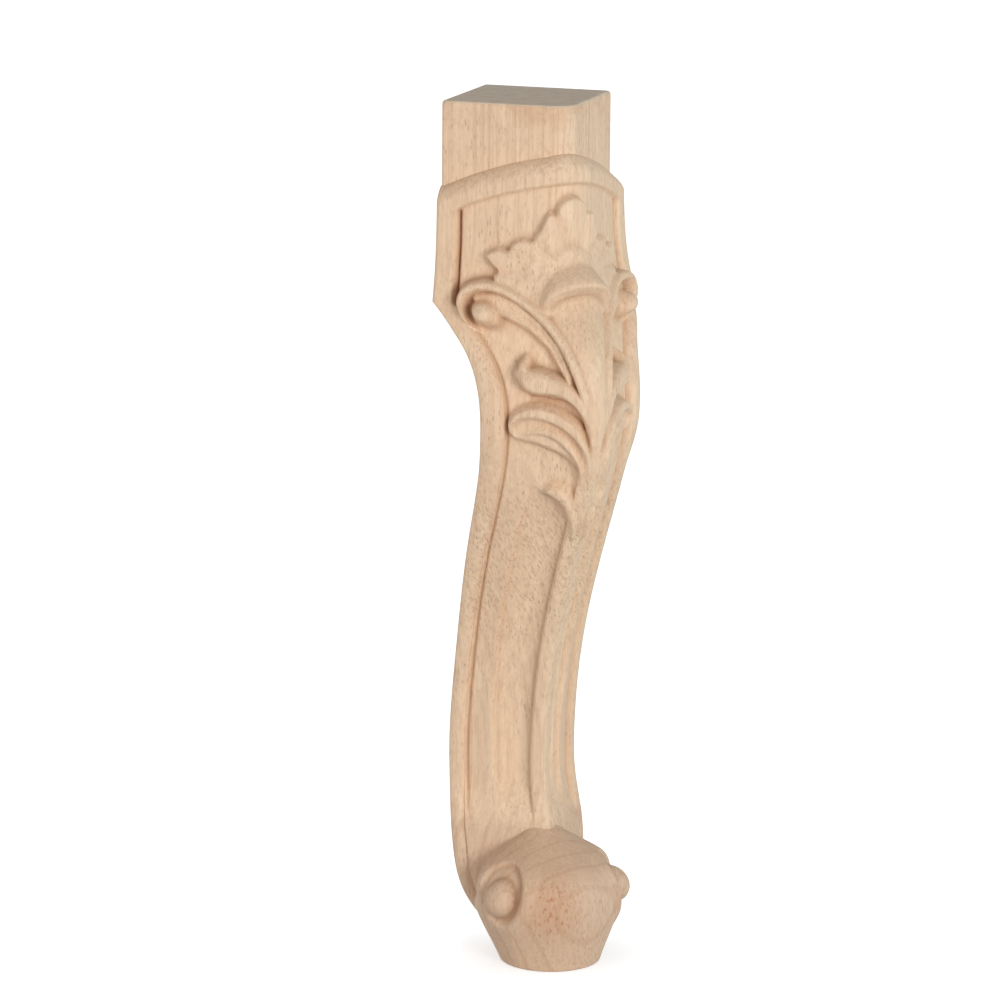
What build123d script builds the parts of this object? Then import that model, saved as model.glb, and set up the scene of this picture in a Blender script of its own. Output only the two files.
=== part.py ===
"""Carved wooden cabriole furniture leg, one solid.

Millimetres, +Z up.  Both patterned faces look to the front: one to -Y and one to +X, so the
front corner points to +X -Y and the leg is the same on both sides of its diagonal plane.
Everything is drawn from the post's axis and moved at the end, so that the origin is the
centre of the sole on the floor.
"""
import math
import os

from build123d import *

# Post and block
HEIGHT = 280.0          # floor to the flat top of the post
POST = 43.0             # side of the square post
POST_ROUND = 7.0        # rounding of the post's front corner
TOP_EASE = 0.8          # chamfer of the sawn top edge
BLOCK = 26.4            # front face of the block below the post, out from the post's axis
ARCH_SIDE = 252.5       # arched moulding, height at the outer edge
ARCH_CORNER = 265.0     # arched moulding, height at the front corner
ARCH_DEEP = 8.8         # moulding, top to bottom
ARCH_STEP = 2.2         # step of the moulding's upper edge, down and back

# Shaft
EAR = 217.0             # underside of the block's back ears
KNEE = 37.4             # front face at the fullest of the knee
KNEE_HEIGHT = 186.0
ANKLE = 12.1            # front face at the slimmest of the ankle
ANKLE_HEIGHT = 68.0
HEEL = 21.4             # back face at the ankle
CORNER_ROUND = 6.0      # rounding of the front corner rib
EDGE_EASE = 1.6         # chamfer of the two side edges
SPINE_EASE = 2.6        # chamfer of the back corner below the block
BAND = 6.6              # raised border band along the side edges
RIB = 4.4               # corner rib, from the corner to its groove
RIB_TOP = 180.0         # where the corner rib runs into the knee
GROUND = 1.6            # depth of the carved ground below band and rib
FLUTE = 1.3             # depth of the shaft's hollow below its ground
GROUND_ROUND = 8.0      # turn of the ground about the front corner
SINK = 1.2              # how far the carving is rooted below its ground

# Foot
SOLE_OUT = 15.4         # centre of the sole, out from the post's axis on both faces
SOLE_RADIUS = 16.2
BULB = 24.6             # radius of the foot at its fullest
BULB_OUT = 12.9         # centre of the foot at its fullest
BULB_HEIGHT = 24.0
VOLUTE_TURN = 112.0     # direction of a volute, in degrees about the bulb from +X to -Y
VOLUTE = 8.2            # radius of the volute's raised ring
KNOB = 5.6              # radius of the volute's button

DIAGONAL = Plane(origin=(0, 0, 0), z_dir=(1, 1, 0))
WIDE = 120.0            # longer than the leg is thick


def up(z):
    """Height of a place that lies at z on a leg 280 mm tall."""
    return z * HEIGHT / 280.0


def front_line(inset=0.0):
    """Sawn line of a front face, from inside the foot up to the block."""
    places = [
        (SOLE_OUT, 0), (ANKLE + 2.2, 40), (ANKLE, ANKLE_HEIGHT), (ANKLE + 5.8, 110),
        (KNEE - 7.4, 150), (KNEE, KNEE_HEIGHT), (BLOCK + 2.2, 224), (BLOCK, 248), (BLOCK - 0.3, 272),
    ]
    return Spline(*[(out - inset, 0, up(z)) for out, z in places])


def back_line(spread=0.0):
    """Sawn line of a back face, from the floor up to the ear of the block."""
    places = [
        (SOLE_OUT - 11.0, 0), (8.6 - HEEL, 17), (3.2 - HEEL, 33), (-HEEL, 64), (3.3 - HEEL, 100),
        (-10.3, 140), (-2.6, 180), (-10.4, 205), (-POST / 2, EAR),
    ]
    return Spline(*[(out - spread, 0, up(z)) for out, z in places])


FRONT = front_line()
BACK = back_line()


def reach(line, z):
    """Outward distance of a sawn line at height z."""
    low, high = 0.0, 1.0
    for _ in range(36):
        mid = (low + high) / 2
        if (line @ mid).Z < z:
            low = mid
        else:
            high = mid
    return (line @ low).X


def both(solid):
    """A solid of one front face and its twin on the other."""
    return [solid, mirror(solid, about=DIAGONAL).solid()]


def closed(curves, corners):
    """Face bounded by curves and by straight sides through the corners."""
    return Face(Wire(curves + [Line(a, b) for a, b in zip(corners, corners[1:])]))


def across(face, start=-WIDE / 2, length=WIDE):
    """Solid with an outline drawn on one front face, from start outwards."""
    return extrude(Pos(0, -start, 0) * face, length, dir=(0, -1, 0)).solid()


def sawn(inset=0.0, spread=0.0):
    """Leg as sawn from two sides of the blank with one pattern."""
    front, back = front_line(inset), back_line(spread)
    upper = [front @ 1, ((back @ 1).X, 0, (front @ 1).Z), back @ 1]
    one, other = both(across(closed([front, back, Line(back @ 0, front @ 0)], upper)))
    return (one & other).solid()


def tall_edges(solid):
    """Upright edges of a sawn leg: front corner, side edges and back corner."""
    tall = [e for e in solid.edges() if abs((e @ 0).Z - (e @ 1).Z) > 8 and e.center().Z > up(30)]
    middle = [e for e in tall if abs(e.center().X + e.center().Y) < 0.5]
    front = [e for e in middle if e.center().X > 10]
    back = [e for e in middle if e.center().X < -5]
    side = [e for e in tall if abs(e.center().X + e.center().Y) > 20]
    return front, side, back


def shaped():
    """Sawn leg with its front corner rounded and its other long edges eased."""
    body = sawn()
    body = body.fillet(CORNER_ROUND, tall_edges(body)[0])
    body = body.chamfer(SPINE_EASE, None, [e for e in tall_edges(body)[2] if e.center().Z < up(EAR) - 20])
    return body.chamfer(EDGE_EASE, None, tall_edges(body)[1])


def ground():
    """Carved ground of the panels, and the wood behind it."""
    body = sawn(GROUND, 6.0)
    return body.chamfer(0.6 * GROUND_ROUND, None, tall_edges(body)[0])


def above_arch(drop, start=-WIDE / 2):
    """Everything above the arched moulding of one face, the arch lowered by drop."""
    rise = up(ARCH_CORNER) - up(ARCH_SIDE)
    low = up(ARCH_SIDE) - drop
    half = POST / 2
    line = Spline(
        (-half - 6, 0, low - 0.24 * rise), (-0.3 * half, 0, low + 0.54 * rise),
        (0.45 * half, 0, low + 0.78 * rise), (BLOCK + 30, 0, low + 1.02 * rise),
        tangents=[(1, 0, 0.5), (1, 0, 0)],
    )
    top = up(ARCH_CORNER) + 9
    corners = [line @ 1, ((line @ 1).X, 0, top), ((line @ 0).X, 0, top), line @ 0]
    return across(closed([line], corners), start)


def panel():
    """Opening of the carved panel on one face, inside band, moulding and corner rib."""
    rib_top, top = up(RIB_TOP), up(ARCH_CORNER) + 2
    band = Spline(*[(reach(BACK, up(z)) + BAND, 0, up(z)) for z in (45, 66, 100, 140, 180, 205, EAR)])
    rib = Spline(*[(reach(FRONT, up(z)) - RIB, 0, up(z)) for z in (38, 68, 110, 150, RIB_TOP)])
    corners = [
        band @ 1, (BAND - POST / 2, 0, top), (WIDE / 2, 0, top), (WIDE / 2, 0, rib_top), rib @ 1,
    ]
    opening = across(closed([band, rib, Line(band @ 0, rib @ 0)], corners), 5, WIDE / 2)
    return (opening - above_arch(ARCH_DEEP)).solid()


def flute():
    """Hollow of the shaft's panel on one face."""
    sections = []
    for z, share in ((51, 0.2), (72, 1), (105, 1), (138, 1), (172, 0.3)):
        face = reach(FRONT, up(z)) - GROUND
        left = reach(BACK, up(z)) + BAND + 0.3
        right = reach(FRONT, up(z)) - 0.6 * GROUND_ROUND - GROUND - 0.3
        low, bank = face - FLUTE * share, 0.25 * (right - left)
        corners = [
            (left, -face - 0.4, up(z)), (left + bank, -low, up(z)), (right - bank, -low, up(z)),
            (right, -face - 0.4, up(z)), (left, -face - 0.4, up(z)),
        ]
        sections.append(closed([], corners))
    return loft(sections, ruled=True).solid()


def post():
    """Plain square post with a rounded front corner."""
    low = up(EAR) + 5
    body = Pos(0, 0, low) * Box(POST, POST, HEIGHT - low, align=(Align.CENTER, Align.CENTER, Align.MIN))
    corner = max(body.edges().filter_by(Axis.Z), key=lambda e: e.center().X - e.center().Y)
    body = body.fillet(POST_ROUND, [corner])
    return body.chamfer(TOP_EASE, None, body.faces().sort_by(Axis.Z)[-1].edges())


def bulb():
    """Round foot, swelling from the sole and closing over the front of the ankle."""
    flare = (0.95 * BULB - SOLE_RADIUS) / 17
    rings = [
        (SOLE_RADIUS - 6 * flare, -6), (0.95 * BULB, 17), (BULB, BULB_HEIGHT), (0.96 * BULB, 30),
        (0.82 * BULB, 36), (0.52 * BULB, 42), (0.1 * BULB, 47.5),
    ]
    corners = [(out, 0, up(z)) for out, z in [(0, -6)] + rings + [(0, 47.5), (0, -6)]]
    lean = BULB_OUT - SOLE_OUT
    axis = Plane(origin=(SOLE_OUT, -SOLE_OUT, 0), x_dir=(1, 1, 0), z_dir=(lean, -lean, up(BULB_HEIGHT)))
    turned = axis * revolve(closed([], corners), Axis.Z)
    return (turned & Pos(0, 0, WIDE / 2) * Box(2 * WIDE, 2 * WIDE, WIDE)).solid()


def with_volute(foot, degrees):
    """Foot with a flat seat, a raised ring and a domed button, facing out at an angle from +X."""
    turn = math.radians(degrees)
    out = Vector(math.cos(turn), -math.sin(turn), 0)
    centre = Vector(BULB_OUT, -BULB_OUT, up(BULB_HEIGHT)) + out * (BULB - 1.2)
    place = Plane(origin=centre, x_dir=(0, 0, 1), z_dir=out)
    bead = [(VOLUTE - 1.4, 0, -1), (VOLUTE - 0.3, 0, 1.4), (VOLUTE + 1, 0, -1), (VOLUTE - 1.4, 0, -1)]
    seat = place * Pos(0, 0, 5) * Cylinder(VOLUTE, 10)
    ring = place * revolve(closed([], bead), Axis.Z)
    button = place * dome(KNOB, 3.4)
    return ((foot - seat.solid()) + ring.solid() + button.solid()).solid()


def foot():
    """Round foot with a volute on each of its two sides."""
    return with_volute(with_volute(bulb(), VOLUTE_TURN), 90 - VOLUTE_TURN)


def spot(d, z):
    """Place on the carved ground and its outward normal, d along a face from the front corner."""
    slope = reach(FRONT, z + 0.5) - reach(FRONT, z - 0.5)
    centre = reach(FRONT, z) - GROUND - GROUND_ROUND
    turn = math.radians(45 + 45 * max(-1.0, min(1.0, d / GROUND_ROUND)))
    run = max(0.0, abs(d) - GROUND_ROUND)
    along = Vector(-run, 0, 0) if d > 0 else Vector(0, run, 0)
    way = Vector(math.cos(turn), -math.sin(turn), 0)
    place = Vector(centre, -centre, z) + way * GROUND_ROUND + along
    normal = way + Vector(0, 0, -slope * (math.cos(turn) + math.sin(turn)))
    return place, normal.normalized()


def section(width, rise, ridged):
    """Section of a carved leaf on its root, with a ridge or a broad back."""
    left, right = (-width / 2, -SINK), (width / 2, -SINK)
    if ridged:
        back = [(0, rise)]
    else:
        back = [(-0.4 * width, 0.55 * rise), (-0.16 * width, rise), (0.16 * width, rise), (0.4 * width, 0.55 * rise)]
    corners = [left] + back + [right, left]
    return closed([], corners)


def leaf(spine, ridged=True):
    """Carved leaf or scroll, lofted along places (d, z, width, rise) on the ground."""
    spots = [spot(d, up(z)) for d, z, _, _ in spine]
    sections = []
    for i, (place, normal) in enumerate(spots):
        ahead = spots[min(i + 1, len(spots) - 1)][0] - spots[max(i - 1, 0)][0]
        side = normal.cross(ahead).normalized()
        plane = Plane(origin=place, x_dir=side, z_dir=normal.cross(side) * -1)
        sections.append(plane * section(spine[i][2], spine[i][3], ridged))
    return loft(sections).solid()


def dome(radius, rise):
    """Domed button about +Z, standing on a root below its ground."""
    turns = [(radius * math.sin(a), 0, rise * math.cos(a)) for a in (0, 0.75, math.pi / 2)]
    corners = turns + [(radius, 0, -3), (0, 0, -3), turns[0]]
    return revolve(closed([], corners), Axis.Z).solid()


def eye(d, z, radius, rise):
    """Ball in the eye of the scroll."""
    place, normal = spot(d, up(z))
    return (Plane(origin=place, z_dir=normal) * dome(radius, rise)).solid()


def palmette():
    """Fan of leaves on one face above the knee."""
    fan = [
        [(3, 231, 6, 0.8), (6, 238, 10, 2.4), (9.5, 244, 9, 2.8), (12, 248, 2, 0.6)],
        [(6, 230, 6, 0.8), (12, 234, 9, 2.4), (18, 237, 8, 2.8), (23, 239.5, 2, 0.6)],
        [(8, 228.5, 5, 0.8), (16, 230.5, 7, 2.4), (25, 232, 6, 2.4), (33, 233.5, 1.5, 0.6)],
        [(11, 226.5, 4, 0.6), (18, 227, 5, 2.0), (25, 226.6, 5, 2.2), (31, 224.5, 2, 0.6)],
    ]
    return [leaf(spine) for spine in fan]


def knee_leaves():
    """Scroll with its ball, and the acanthus leaves of one face below the palmette."""
    scroll = [(38, 221, 6, 3.8), (28, 221, 8.4, 4.6), (18.4, 216.6, 9, 4.4), (11.6, 209, 8.6, 4.0), (6, 196, 6, 3.2)]
    curl = [(4, 187, 3, 2.2), (10, 193.5, 7, 3.4), (18, 196.6, 7.4, 3.8), (27, 196, 3.4, 2.4)]
    broad = [(3, 170, 6, 2.2), (10, 177.5, 12, 3.2), (20, 180.4, 12.5, 3.4), (31, 180, 7, 1.2)]
    sickle = [(17.5, 159.4, 1.4, 0.6), (12.5, 158.8, 5, 2.4), (6.5, 154.6, 6.4, 3.0), (3, 146, 3.4, 1.4)]
    return [leaf(scroll), leaf(curl), leaf(broad), leaf(sickle), eye(35, 215.6, 5.0, 7.4)]


def knee_front():
    """Middle leaf of the palmette, lip and pod, all across the front corner."""
    middle = [(0, 230, 8, 0.6), (0, 238, 12, 2.2), (0, 246, 12, 3.2), (0, 254, 2, 0.6)]
    lip = [(13.5, 215.5, 2.4, 1.6), (9, 223, 5, 4.4), (0, 226.8, 5.4, 5.2), (-9, 223, 5, 4.4), (-13.5, 215.5, 2.4, 1.6)]
    pod = [(0, 221, 8, 0.8), (0, 211, 15, 3.4), (0, 196, 13, 3.8), (0, 182, 10.5, 3.0), (0, 168, 6, 0.2)]
    return [leaf(middle, False), leaf(lip, False), leaf(pod, False)]


def half_space():
    """All that lies on one side of the diagonal plane."""
    corners = [(-WIDE, WIDE, -5), (WIDE, -WIDE, -5), (-WIDE, -WIDE, -5), (-WIDE, WIDE, -5)]
    return extrude(closed([], corners), HEIGHT + 20, dir=(0, 0, 1)).solid()


def half_leg():
    """The leg above its foot, on one side of its diagonal plane."""
    side = half_space()
    half = shaped() & side
    half -= above_arch(0)
    half -= above_arch(ARCH_STEP, BLOCK - ARCH_STEP)
    half -= (panel() & side) - ground()
    half -= flute()
    half += post() & side
    for piece in knee_front():
        half += piece & side
    for piece in palmette() + knee_leaves():
        half += piece
    return half


if __name__ == "__main__":
    half = half_leg()
    leg = (half + mirror(half, about=DIAGONAL) + foot()).solid()
    leg = Pos(-SOLE_OUT, SOLE_OUT, 0) * leg
    leg.label = "carved_leg"
    os.makedirs("parts", exist_ok=True)
    export_step(leg, "parts/carved_leg.step")
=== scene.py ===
"""Looks of a carved wooden furniture leg, standing on its round foot.

Lengths inside the classes are millimetres in the maker's frame: p runs right along the left-hand
face, q runs out of that face, z is up, all from the axis of the square post.  On a face, d is the
distance from the front corner.
"""
import logging
import math
from dataclasses import dataclass
from enum import Enum
from functools import cached_property

import bpy
import numpy as np
from mathutils import Matrix, Vector


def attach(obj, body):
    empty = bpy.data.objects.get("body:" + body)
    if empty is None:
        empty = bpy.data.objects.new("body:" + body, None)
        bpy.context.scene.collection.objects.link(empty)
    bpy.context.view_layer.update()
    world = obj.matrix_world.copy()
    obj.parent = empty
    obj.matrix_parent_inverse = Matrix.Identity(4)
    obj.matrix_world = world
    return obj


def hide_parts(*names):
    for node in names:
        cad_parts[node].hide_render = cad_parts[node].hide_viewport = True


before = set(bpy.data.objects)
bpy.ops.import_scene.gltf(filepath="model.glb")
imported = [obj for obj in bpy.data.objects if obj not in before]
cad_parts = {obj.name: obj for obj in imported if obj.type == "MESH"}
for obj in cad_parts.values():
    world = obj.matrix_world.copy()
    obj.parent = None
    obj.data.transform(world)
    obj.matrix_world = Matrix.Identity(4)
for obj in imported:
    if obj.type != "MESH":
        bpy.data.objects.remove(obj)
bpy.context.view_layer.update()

LOG = logging.getLogger("carved_leg")
MM = 0.001
SOLE_OUT = 15.4
HEIGHT = 280.0
POST_HALF = 21.5
GROUND = -1.6
FAR_BELOW = -9.0
ACROSS = 0.96
WELD = 2e-6
FRONT_TURN = math.radians(45.0)

Array = np.ndarray
Socket = bpy.types.NodeSocket
Knots = tuple[tuple[float, ...], ...]
Span = tuple[float, float]
Window = tuple[Span, Span]
Triple = tuple[float, float, float]
Tone = tuple[float, float, float, float]
Value = Socket | float | tuple[float, ...]


class Crest(Enum):
    """Shapes that a carver gives the back of a leaf."""

    ROUND = "round"
    LEAN = "lean"


def smooth_step(value: Array) -> Array:
    """Soft step from 0 to 1 as value runs from 0 to 1."""
    t = np.clip(value, 0.0, 1.0)
    return t * t * (3.0 - 2.0 * t)


def ramp(value: Array, span: Span) -> Array:
    """Soft step from 0 at the first end of a span to 1 at its second end."""
    return smooth_step((value - span[0]) / (span[1] - span[0]))


def window(value: Array, spans: Window) -> Array:
    """Soft step in over the first span and out over the second."""
    return ramp(value, spans[0]) * ramp(value, spans[1])


def notch(away: Array, half: float) -> Array:
    """Section of a V-groove: 1 at its middle and 0 from its half width on."""
    return np.clip(1.0 - np.abs(away) / half, 0.0, 1.0)


def soft_max(a: Array, b: Array, blend: float) -> Array:
    """Upper of two heights, with the corner between them softened over a depth."""
    k = np.clip(0.5 + 0.5 * (a - b) / blend, 0.0, 1.0)
    return b + (a - b) * k + blend * k * (1.0 - k)


def blurred(height: Array, times: int) -> Array:
    """Heights softened by averaging each with its neighbours.

    Args:
        height: Rows by columns of heights.
        times: How often.

    Returns:
        The softened heights.
    """
    for _ in range(times):
        padded = np.pad(height, 1, mode="edge")
        height = 0.5 * height + 0.125 * (
            padded[:-2, 1:-1] + padded[2:, 1:-1] + padded[1:-1, :-2] + padded[1:-1, 2:]
        )
    return height


@dataclass(frozen=True)
class Shade:
    """How fast painted shade darkens a surface where it lies below what is round it."""

    reach: int
    start: float
    gain: float
    most: float

    def over(self, height: Array) -> Array:
        """Painted shade at each place, from the heights of a surface, from 0 to the most."""
        depth = blurred(height, self.reach) - height
        return np.clip((depth - self.start) * self.gain, 0.0, self.most)


@dataclass(frozen=True)
class Curve:
    """Smooth line through knots of (value, place)."""

    knots: Knots

    def at(self, place: Array) -> Array:
        """Values of the line at these places, held level beyond its ends.

        Args:
            place: Where the line is read.

        Returns:
            One value for each place.
        """
        y, x = np.array(self.knots, float).T
        run, count = np.diff(x), len(x)
        system, right = np.eye(count), np.zeros(count)
        for i in range(1, count - 1):
            system[i, i - 1:i + 2] = run[i - 1], 2 * (run[i - 1] + run[i]), run[i]
            right[i] = 6 * ((y[i + 1] - y[i]) / run[i] - (y[i] - y[i - 1]) / run[i - 1])
        bend = np.linalg.solve(system, right)
        held = np.clip(place, x[0], x[-1])
        i = np.clip(np.searchsorted(x, held) - 1, 0, count - 2)
        t, u = held - x[i], x[i + 1] - held
        cubic = (bend[i] * u**3 + bend[i + 1] * t**3) / (6 * run[i])
        low = (y[i] / run[i] - bend[i] * run[i] / 6) * u
        return cubic + low + (y[i + 1] / run[i] - bend[i + 1] * run[i] / 6) * t


@dataclass(frozen=True)
class Face:
    """Points of one face: level, width and band hold one value a row, d and z one for each point."""

    level: Array
    width: Array
    band: Array
    d: Array
    z: Array

    @property
    def start(self) -> Array:
        """Distance from the front corner at which the border band starts."""
        return self.width - self.band


@dataclass(frozen=True)
class Hump:
    """Soft round hump at a place (d, z) on a face, fading over a reach each way."""

    rise: float
    place: Span
    reach: Span

    def over(self, face: Face) -> Array:
        """Height of the hump at each point of a face."""
        across, along = (face.d - self.place[0]) / self.reach[0], (face.z - self.place[1]) / self.reach[1]
        return self.rise * np.exp(-(across**2) - along**2)


@dataclass(frozen=True)
class Stroke:
    """One carved leaf, scroll or groove along a line of (d, z, width, rise) on the face."""

    spine: Knots
    crest: Crest = Crest.ROUND
    wall: float = 0.9
    places: int = 90
    round_fall: float = 0.62
    lean_crest: float = 0.45
    lean_foot: float = 0.15
    lean_fall: float = 1.1
    groove_power: float = 0.8

    def trail(self) -> Array:
        """Even places along the spine.

        Returns:
            Rows of d, z, width and rise.
        """
        knots = np.array(self.spine) * (ACROSS, 1.0, 1.0, 1.0)
        run = np.concatenate([[0.0], np.cumsum(np.hypot(*np.diff(knots[:, :2], axis=0).T))])
        where = np.linspace(0.0, run[-1], self.places)
        columns = [Curve(tuple(zip(knots[:, i], run))).at(where) for i in range(4)]
        return np.stack(columns, axis=1)

    def reading(self, face: Face) -> tuple[Array, ...]:
        """Where the points of a face lie on the stroke.

        Args:
            face: The face.

        Returns:
            Signed share of the half width, half width, and rise, for each point.
        """
        trail = self.trail()
        step = np.gradient(trail[:, :2], axis=0)
        gap_d = face.d.ravel()[:, None] - trail[None, :, 0]
        gap_z = face.z.ravel()[:, None] - trail[None, :, 1]
        away = np.hypot(gap_d, gap_z)
        near = away.argmin(axis=1)
        pick = np.arange(face.d.size)
        side = gap_d[pick, near] * step[near, 1] - gap_z[pick, near] * step[near, 0]
        half = trail[near, 2] / 2
        share = np.where(side < 0.0, -1.0, 1.0) * away[pick, near] / half
        return tuple(values.reshape(face.d.shape) for values in (share, half, trail[near, 3]))

    def back(self, x: Array) -> Array:
        """Height of the stroke's back across its width, as a share of its rise.

        Args:
            x: Signed share of the half width.

        Returns:
            One share for each place.
        """
        if self.crest is Crest.ROUND:
            return 1.0 - self.round_fall * x**2
        climb = ramp(x, (-1.0, self.lean_crest)) * (1.0 - self.lean_foot) + self.lean_foot
        return np.where(x < self.lean_crest, climb, 1.0 - self.lean_fall * (x - self.lean_crest))

    def raise_on(self, height: Array, face: Face, blend: float = 0.3) -> None:
        """Raises the stroke from the ground of a carved face.

        Args:
            height: Heights of the face, changed in place.
            face: The face.
            blend: How softly it meets what is there.
        """
        x, half, rise = self.reading(face)
        edge = smooth_step((1.0 - np.abs(x)) * half / self.wall)
        lift = GROUND + rise * self.back(np.clip(x, -1, 1)) * edge
        mask = edge > 0.0
        height[mask] = soft_max(lift[mask], height[mask], blend)

    def cut_in(self, height: Array, face: Face) -> None:
        """Cuts the stroke into the heights of a face as a groove, its rise taken as depth."""
        x, _, depth = self.reading(face)
        height -= depth * notch(x, 1.0) ** self.groove_power


@dataclass(frozen=True)
class Plate:
    """Raised sheet of a leaf with a drawn outline of (d, z)."""

    outline: Knots
    rise: float
    wall: float
    blend: float = 0.3

    def inside(self, face: Face) -> Array:
        """Distance inside the outline, below 0 outside it.

        Args:
            face: The face.

        Returns:
            One distance for each point.
        """
        d, z = face.d, face.z
        corners = np.array(self.outline) * (ACROSS, 1.0)
        nearest = np.full(d.shape, np.inf)
        within = np.zeros(d.shape, bool)
        for a, b in zip(corners, np.roll(corners, -1, axis=0)):
            run = b - a
            t = np.clip(((d - a[0]) * run[0] + (z - a[1]) * run[1]) / (run @ run), 0.0, 1.0)
            nearest = np.minimum(nearest, np.hypot(d - a[0] - t * run[0], z - a[1] - t * run[1]))
            crosses = (a[1] > z) != (b[1] > z)
            with np.errstate(divide="ignore", invalid="ignore"):
                at = a[0] + (z - a[1]) * run[0] / run[1]
            within ^= crosses & (d < at)
        return np.where(within, nearest, -nearest)

    def raise_on(self, height: Array, face: Face, scoop: Array | float = 0.0) -> None:
        """Raises the sheet from the ground of a carved face.

        Args:
            height: Heights of the face, changed in place.
            face: The face.
            scoop: How far the sheet dips.
        """
        depth = self.inside(face)
        lift = GROUND - scoop + self.rise * smooth_step(depth / self.wall)
        mask = depth > 0.0
        height[mask] = soft_max(lift[mask], height[mask], self.blend)


@dataclass(frozen=True)
class Figure:
    """One layer of figure in the wood: stretched noise, spread between two of its levels."""

    stretch: Triple
    detail: float
    rough: float
    span: Span
    share: float = 1.0


@dataclass(frozen=True)
class Bench:
    """Node tree of one finish, and the joints that the finishes are made with."""

    tree: bpy.types.NodeTree

    def add(self, kind: str, inputs: dict[str | int, Value] | None = None, **choices: str) -> bpy.types.Node:
        """Adds a node and feeds its inputs.

        Args:
            kind: Kind of the node.
            inputs: Sockets or constants, by the input's name or number.
            choices: Choices of the node, by name.

        Returns:
            The node.
        """
        node = self.tree.nodes.new("ShaderNode" + kind)
        for name, choice in choices.items():
            setattr(node, name, choice)
        for name, value in (inputs or {}).items():
            if isinstance(value, Socket):
                self.tree.links.new(value, node.inputs[name])
            else:
                node.inputs[name].default_value = value
        return node

    @cached_property
    def place(self) -> Socket:
        """Object coordinates, from one node for the whole tree."""
        return self.add("TexCoord").outputs["Object"]

    def math(self, kind: str, a: Value, b: Value) -> Socket:
        """One sum on two sockets or numbers."""
        return self.add("Math", {0: a, 1: b}, operation=kind).outputs[0]

    def scaled(self, value: Value, factor: Value, plus: float = 0.0) -> Socket:
        """A value times a factor, and a constant added."""
        product = self.math("MULTIPLY", value, factor)
        return self.math("ADD", product, plus) if plus else product

    def spread(self, value: Value, span: Span, ends: Span = (0.0, 1.0), way: str = "SMOOTHSTEP") -> Socket:
        """A value spread so that a span's ends give the two ends, softly or in another way."""
        inputs = dict(zip(("From Min", "From Max", "To Min", "To Max"), (*span, *ends)))
        return self.add("MapRange", {"Value": value, **inputs}, interpolation_type=way).outputs[0]

    def mix(self, factor: Value, a: Value, b: Value) -> Socket:
        """Colour a going over to colour b by a factor."""
        first, second = ((*tone, 1.0) if isinstance(tone, tuple) else tone for tone in (a, b))
        return self.add("Mix", {"Factor": factor, 6: first, 7: second}, data_type="RGBA").outputs[2]

    def mapped(self, place: Value, **moves: Triple) -> Socket:
        """Places moved, turned or stretched, by the names of the node's inputs."""
        return self.add("Mapping", {"Vector": place, **moves}).outputs[0]

    def noise(self, figure: Figure) -> Socket:
        """Stretched noise of a layer of figure, before it is spread."""
        inputs = {"Scale": 1.0, "Detail": figure.detail, "Roughness": figure.rough}
        inputs["Vector"] = self.mapped(self.place, Scale=figure.stretch)
        return self.add("TexNoise", inputs).outputs["Fac"]

    def figure(self, figure: Figure) -> Socket:
        """A layer of figure, spread and scaled to its share."""
        return self.scaled(self.spread(self.noise(figure), figure.span), figure.share)

    def height(self, span: Span) -> Socket:
        """Soft step from 0 to 1 over a span of heights in metres."""
        return self.spread(self.add("SeparateXYZ", {0: self.place}).outputs["Z"], span)

    def cells(self, place: Value, stretch: Triple, span: Span) -> Socket:
        """Spots about scattered points, from the distances at which a spot ends and is full."""
        inputs = {"Vector": self.mapped(place, Scale=stretch), "Scale": 1.0}
        return self.spread(self.add("TexVoronoi", inputs).outputs["Distance"], span)

    def wave(self, place: Value, way: str, shape: dict[str, float], span: Span) -> Socket:
        """Uneven rings about the origin of these places, from the levels at which one starts and is full."""
        wave = self.add("TexWave", {"Vector": place, **shape}, wave_type="RINGS", rings_direction=way)
        return self.spread(wave.outputs["Fac"], span)

    def length(self, place: Value) -> Socket:
        """Distance of a place from the origin."""
        return self.add("VectorMath", {0: place}, operation="LENGTH").outputs["Value"]

    def eye_rays(self) -> Socket:
        """Gives 1 for a ray from the eye, straight or by a mirror or glass, and 0 for other light.

        Returns:
            The value's socket.
        """
        path = self.add("LightPath")
        direct = self.math("MAXIMUM", path.outputs["Is Camera Ray"], path.outputs["Is Glossy Ray"])
        return self.math("MAXIMUM", direct, path.outputs["Is Transmission Ray"])


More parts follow.
